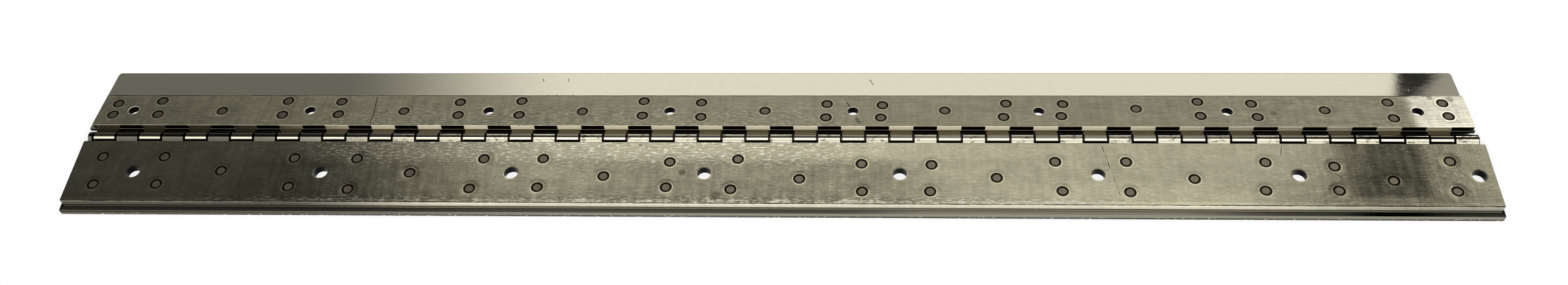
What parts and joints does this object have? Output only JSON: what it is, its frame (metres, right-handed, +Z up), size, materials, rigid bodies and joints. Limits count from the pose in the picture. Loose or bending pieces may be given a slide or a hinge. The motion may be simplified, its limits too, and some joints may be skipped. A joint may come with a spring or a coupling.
{
  "type": "piano hinge",
  "caption": "Heavy continuous hinge: two knuckled stainless leaves on one long pin, each stiffened by a plug-welded cover plate and drilled for screws.",
  "frame": {"origin": "on the supporting surface, midway along the overall length and across the open width, straight below the pin's axis", "axes": "+X along the pin, +Y from the pin towards the leaf with the narrower cover plate, +Z up, away from the surface the open hinge lies on"},
  "size_m": [0.742, 0.1016, 0.0072],
  "materials": {
    "far_leaf": "bright mill finish, lightly scratched",
    "near_leaf": "bright mill finish, darker at the cut edges",
    "hinge_pin": "drawn rod",
    "far_cover_plate": "satin, brushed along its length",
    "near_cover_plate": "satin, brushed along its length",
    "weld_metal": "ground flush, heat-stained rim"
  },
  "bodies": {
    "near_side": {"near_leaf": "near_leaf", "hinge_pin": "hinge_pin", "near_cover_plate": "near_cover_plate", "near_inner_welds": "weld_metal", "near_outer_welds": "weld_metal", "near_middle_welds": "weld_metal"},
    "far_side": {"far_leaf": "far_leaf", "far_cover_plate": "far_cover_plate", "far_inner_welds": "weld_metal", "far_outer_welds": "weld_metal", "far_middle_welds": "weld_metal"}
  },
  "joints": [
    {"name": "leaf_hinge", "type": "hinge", "parent": "near_side", "child": "far_side", "pos_m": [0, 0, 0.00315], "axis": [1, 0, 0], "range_deg": [-172, 112]}
  ]
}
